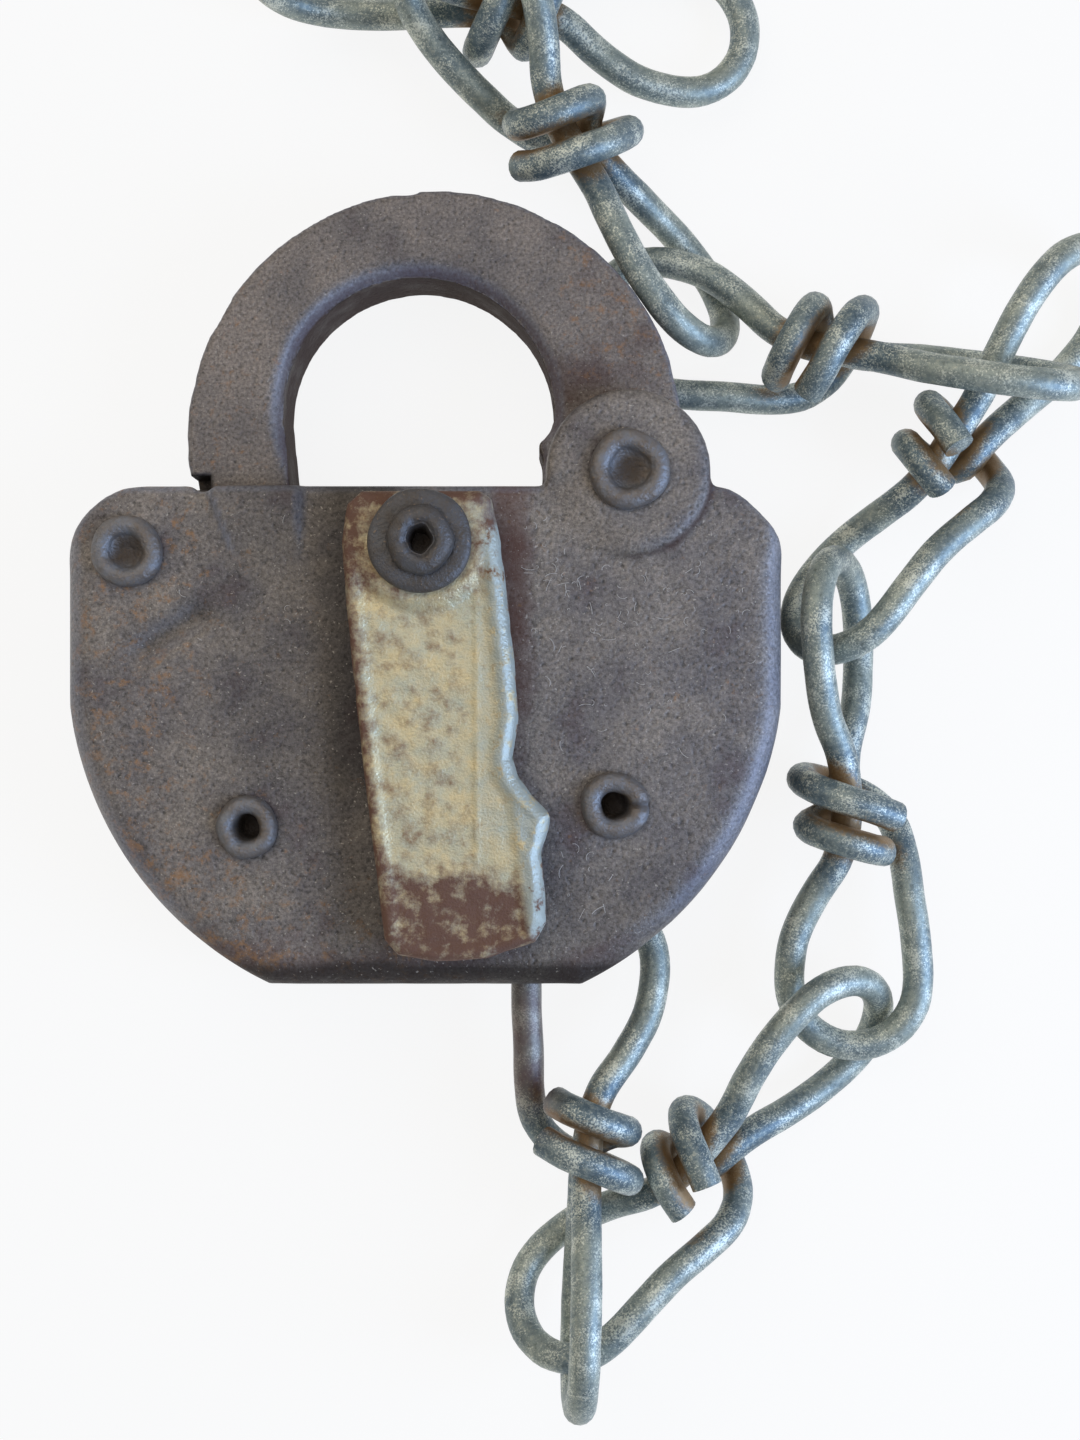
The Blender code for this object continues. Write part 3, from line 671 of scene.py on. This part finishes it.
# Pale painted highlight laid on the bead, broken where rust spots lie
bead_highlight_mix = times(tree, mask_of(tree, "bead"), spread(tree, rust_spots, 0.62, 0.52))
bead_highlighted = blend(tree, bead_highlight_mix, face, "#b4bcb6")
shine = spread(tree, brown_mix, 0.0, 1.0, 0.42, 0.75)
metal(tree, bead_highlighted, 0.45, shine, plus(tree, grit, 1.4, rust_spots), 0.7, 0.14)
cover.data.materials.append(cover_skin)
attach(cover, "cover")
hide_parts("keyhole_cover")

washer_low = COVER_TOP + SEAT_GAP
washer_top = washer_low + 1.4
rolled("cover_washer_turned", STUD_AT, [
    (2.3, washer_low), (2.3, washer_top - 0.1), (2.45, washer_top), (4.6, washer_top - 0.02),
    (4.95, washer_top - 0.2), (5.1, washer_top - 0.55), (5.1, washer_low + 0.3), (4.9, washer_low),
], stud_skin, "cover_washer", 0.16, 11)
head = washer_top + SEAT_GAP
rolled("cover_stud_head", STUD_AT, [
    (AXIS_R, head - 2.5), (0.9, head - 2.4), (1.05, head), (1.15, head + 0.7), (1.35, head + 1.25),
    *curl(2.15, head + 0.85, 0.82, 150, 90), (2.6, head + 1.6), (2.95, head + 1.35), (3.2, head + 0.95),
    (3.32, head + 0.5), (3.3, head + 0.15), (3.1, head), (2.0, head), (2.0, 15.0), (3.1, 15.0), (3.1, 14.6),
    (2.6, 14.2), (AXIS_R, 14.2),
], stud_skin, "cover_rivet", 0.26, 12)


# The works inside are stamped and turned steel, oiled once and now a dull grey-brown.
# They are riveted between the two halves of the case, out of sight.
works_skin, tree = blank("stamped_steel_dull")
cloud = lumps_of(tree, 3.0, 5.0)
tone = blend(tree, spread(tree, cloud, 0.35, 0.65), "#77736d", "#5e4f44")
metal(tree, tone, 0.8, 0.5, cloud, 0.4, 0.05)
for part in ("lock_dog", "dog_spring", "tumbler_lever", "tumbler_spring", "key_post", "chain_post",
             "heel_washer_front", "heel_washer_back"):
    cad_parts[part].data.materials.clear()
    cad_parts[part].data.materials.append(works_skin)


# The chain is hot-dip galvanised wire of 3.2 mm, each link wound by machine from one length into a knot.
# The zinc has weathered to a mottled grey-green, darker on the knots, with rust held where wires touch.
WIRE_R = 1.6
LOOP_R = 6.75
LOOP_X = 19.0
WIRE_SIDES = 16
STEP = 0.85
# Each link's knot place in mm, then heading, pitch, roll and the twist of its upright loop in degrees
LINK_PLACES = (
    (16.38, -50.58, 10.24, -92.0, 8.5, -2.1, -0.5),
    (28.80, -52.73, 7.20, 45.1, -2.4, -42.4, -4.1),
    (43.86, -14.96, 7.47, 93.1, 3.4, -4.6, -23.2),
    (55.71, 22.20, 7.01, 52.6, -0.6, -54.8, 14.3),
    (42.05, 33.10, 7.25, -10.4, 11.7, 10.2, 6.9),
    (15.25, 54.64, 10.00, -52.4, -8.5, 37.7, -2.6),
    (8.39, 69.23, 7.25, 176.4, 9.5, 2.8, -0.7),
)
bend = [math.radians(22.5 * i) for i in range(9)]
WIRE_KEYS = [
    (-1.0, -4.7, 4.3), (0.1, -2.5, 5.6), (1.2, 0.5, 5.85), (2.3, 3.2, 4.4), (2.9, 4.4, 1.3),
    (2.95, 4.3, -1.7), (2.5, 2.9, -4.7), (1.5, 0.1, -5.9), (0.0, -2.9, -5.2), (-2.4, -5.1, -3.7),
    (-5.8, -6.0, -2.0), (-10.0, -6.3, -0.6), (-14.5, -6.7, 0.0),
] + [(-LOOP_X - LOOP_R * math.sin(a), -LOOP_R * math.cos(a), 0.0) for a in bend] + [
    (-14.2, 6.1, 0.0), (-9.8, 3.9, 0.2), (-5.8, 1.3, 0.8), (-2.0, 0.2, 1.4), (1.7, 0.0, 1.95),
    (5.5, 0.0, 2.7), (10.0, 0.0, 4.9), (14.5, 0.0, 6.4),
] + [(LOOP_X + LOOP_R * math.sin(a), 0.0, LOOP_R * math.cos(a)) for a in bend] + [
    (14.5, 0.0, -6.3), (10.0, 0.0, -4.7), (6.0, 0.0, -2.9), (2.6, 0.0, -2.0), (-0.2, 0.6, -2.35),
    (-1.5, 2.7, -1.6), (-1.9, 4.1, 0.7), (-2.3, 3.3, 3.5), (-3.2, 0.6, 5.1), (-4.2, -2.1, 4.2),
    (-4.8, -3.5, 1.9),
]


def smooth_way(keys):
    """A smooth way through the keys, its curvature even where they bunch up."""
    keys = [Vector(k) for k in keys]
    keys = [keys[0] * 2 - keys[1]] + keys + [keys[-1] * 2 - keys[-2]]
    way = []
    for p0, p1, p2, p3 in zip(keys, keys[1:], keys[2:], keys[3:]):
        t1 = math.sqrt((p1 - p0).length)
        t2 = t1 + math.sqrt((p2 - p1).length)
        t3 = t2 + math.sqrt((p3 - p2).length)
        count = max(2, round((p2 - p1).length / STEP))
        for i in range(count):
            t = t1 + (t2 - t1) * i / count
            a1 = p0 * ((t1 - t) / t1) + p1 * (t / t1)
            a2 = p1 * ((t2 - t) / (t2 - t1)) + p2 * ((t - t1) / (t2 - t1))
            a3 = p2 * ((t3 - t) / (t3 - t2)) + p3 * ((t - t2) / (t3 - t2))
            b1 = a1 * ((t2 - t) / t2) + a2 * (t / t2)
            b2 = a2 * ((t3 - t) / (t3 - t1)) + a3 * ((t - t1) / (t3 - t1))
            way.append(b1 * ((t2 - t) / (t2 - t1)) + b2 * ((t - t1) / (t2 - t1)))
    way.append(keys[-2])
    return way


wire_skin, tree = blank("galvanised_wire_weathered")
cloud = lumps_of(tree, 5.0, 6.0, 0.6)
crust = lumps_of(tree, 0.5, 5.0, 0.75)
fine = lumps_of(tree, 0.2, 3.0, 0.7)
patch = lumps_of(tree, 2.4, 3.0)
dark_sum = plus(tree, cloud, 0.22, mask_of(tree, "knot"))
zinc = blend(tree, spread(tree, dark_sum, 0.40, 0.74), "#98a29b", "#64767f")
zinc = blend(tree, spread(tree, crust, 0.5, 0.64, 0.0, 0.55), zinc, "#c3c9bb")
zinc = blend(tree, spread(tree, plus(tree, fine, 0.6, patch), 0.83, 0.92, 0.0, 0.9), zinc, "#dfe3d6")
zinc = blend(tree, spread(tree, crust, 0.45, 0.34, 0.0, 0.5), zinc, "#48524f")
rust_sum = plus(tree, crust, 0.75, mask_of(tree, "touching"))
wire = blend(tree, spread(tree, rust_sum, 0.6, 1.0, 0.0, 0.9), zinc, "#8c6d43")
stain = times(tree, times(tree, mask_of(tree, "by_the_case"), cloud), 1.3)
wire = blend(tree, stain, wire, "#6b5350")
metal(tree, wire, 0.5, 0.45, crust, 0.6, 0.1)
box_low, box_high = (np.array(corner) / MM for corner in cad_box)

for number, (lx, ly, lz, heading, pitch, roll, twist) in enumerate(LINK_PLACES, start=1):
    keys = []
    for kx, ky, kz in WIRE_KEYS:
        lean = math.radians(twist) * min(max((kx - 2.0) / 8.0, 0.0), 1.0)
        turned_y = ky * math.cos(lean) - kz * math.sin(lean)
        turned_z = ky * math.sin(lean) + kz * math.cos(lean)
        keys.append((kx, turned_y, turned_z))
    way = smooth_way(keys)
    along = np.array(way)
    verts = []
    up = Vector((0, 0, 1))
    for i, spot in enumerate(way):
        ahead = (way[min(i + 1, len(way) - 1)] - way[max(i - 1, 0)]).normalized()
        up = (up - ahead * up.dot(ahead)).normalized()
        across = ahead.cross(up)
        for s in range(WIRE_SIDES):
            turn = 2 * math.pi * s / WIRE_SIDES
            out = up * math.cos(turn) + across * math.sin(turn)
            lump = noise.noise((spot + out) / 2.2 + Vector((number * 9.1, 0, 0)))
            r = WIRE_R * (1 + 0.028 * lump)
            point = spot + out * r
            if i == len(way) - 1:
                point += ahead * 0.55 * math.cos(turn + number)
            verts.append(point)
    faces = []
    for i in range(len(way) - 1):
        for s in range(WIRE_SIDES):
            k = (s + 1) % WIRE_SIDES
            a, b = i * WIRE_SIDES, (i + 1) * WIRE_SIDES
            faces.append((a + s, a + k, b + k, b + s))
    faces.append(tuple(reversed(range(WIRE_SIDES))))
    last = (len(way) - 1) * WIRE_SIDES
    faces.append(tuple(last + s for s in range(WIRE_SIDES)))
    outer = np.array(verts)
    turned = Euler((math.radians(roll), math.radians(-pitch), math.radians(heading))).to_matrix()
    lying = np.clip(outer @ np.array(turned).T + (lx, ly, lz), box_low, box_high)
    mesh = bpy.data.meshes.new(f"chain_link_{number}_wire")
    mesh.from_pydata([tuple(v) for v in lying * MM], [], faces)
    mesh.shade_smooth()
    mesh.set_sharp_from_angle(angle=SHARP_EDGE)
    stations = np.repeat(np.arange(len(way)), WIRE_SIDES)
    away = np.linalg.norm(outer[:, None, :] - along[None, :, :], axis=2)
    same_run = np.abs(stations[:, None] - np.arange(len(way))[None, :]) * STEP < 7.0
    gap = np.where(same_run, 99.0, away).min(axis=1) - WIRE_R
    mark(mesh, "touching", fade(gap, 2.6, 0.5))
    mark(mesh, "knot", fade(np.linalg.norm(outer, axis=1), 10.5, 7.0))
    link = bpy.data.objects.new(f"chain_link_{number}_wire", mesh)
    bpy.context.scene.collection.objects.link(link)
    mark(mesh, "by_the_case", (number == 1) * fade(lying[:, 0], 15, 12) * fade(lying[:, 1], -50, -44))
    mesh.materials.append(wire_skin)
    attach(link, f"link_{number}")
    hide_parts(f"chain_link_{number}")


# White lint from cloth or a pocket clings to the rough face, thickest beside the cover.
# Each fibre is a few hundredths of a millimetre thick, drawn coarse enough to show.
FIBRES = 95
FIBRE_R = 0.024
FIBRE_RINGS = 6
FIBRE_SIDES = 4
# Each heap's middle and spread across and up the face in mm, and its share of the fibres
LINT_HEAPS = (
    (14.0, 8.0, 4.5, 8.0, 0.5),
    (25.0, 4.0, 6.0, 6.0, 0.3),
    (13.0, -22.0, 5.0, 3.0, 0.12),
    (-15.0, 6.0, 9.0, 8.0, 0.08),
)

dice = random.Random(7)
verts, faces = [], []
while len(verts) < FIBRES * FIBRE_RINGS * FIBRE_SIDES:
    heap = dice.choices(LINT_HEAPS, [h[4] for h in LINT_HEAPS])[0]
    fx, fy = dice.gauss(heap[0], heap[2]), dice.gauss(heap[1], heap[3])
    clear_of_cover = inset_from(OUTLINE, np.array([fx]), np.array([fy]))[0]
    over_cover = -8 < fx < 12 and fx < 9.5 + 0.1 * -fy
    if math.hypot(fx - BOSS_X, fy - BOSS_Y) < BOSS_R + 1.5:
        continue
    if math.hypot(fx, fy) > 33 or fy > 15.5 or clear_of_cover < 1.5 or over_cover:
        continue
    if min(math.hypot(fx - r[1][0], fy - r[1][1]) - r[2] for r in RIVETS) < 1.2:
        continue
    course, curve, length = dice.uniform(0, 6.28), dice.gauss(0, 0.5), dice.uniform(0.4, 1.5)
    base = len(verts)
    for i in range(FIBRE_RINGS):
        lift = FACE_Z + float(face_rise(np.array([fx]), np.array([fy]))[0]) + 0.1
        for s in range(FIBRE_SIDES):
            turn = math.tau / FIBRE_SIDES * s
            verts.append(((fx - math.sin(course) * FIBRE_R * math.cos(turn)) * MM,
                          (fy + math.cos(course) * FIBRE_R * math.cos(turn)) * MM,
                          (lift + FIBRE_R * math.sin(turn)) * MM))
        fx += math.cos(course) * length / (FIBRE_RINGS - 1)
        fy += math.sin(course) * length / (FIBRE_RINGS - 1)
        course += curve
    for i in range(FIBRE_RINGS - 1):
        for s in range(FIBRE_SIDES):
            k = (s + 1) % FIBRE_SIDES
            a = base + i * FIBRE_SIDES
            b = a + FIBRE_SIDES
            faces.append((a + s, a + k, b + k, b + s))
mesh = bpy.data.meshes.new("lint")
mesh.from_pydata(verts, [], faces)
lint = bpy.data.objects.new("lint", mesh)
bpy.context.scene.collection.objects.link(lint)
lint_skin, tree = blank("white_lint")
surface = node(tree, "BsdfPrincipled", {"Base Color": linear("#cbc7c2"), "Roughness": 0.9})
node(tree, "OutputMaterial", {}, {"Surface": surface.outputs[0]})
mesh.materials.append(lint_skin)
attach(lint, "case")
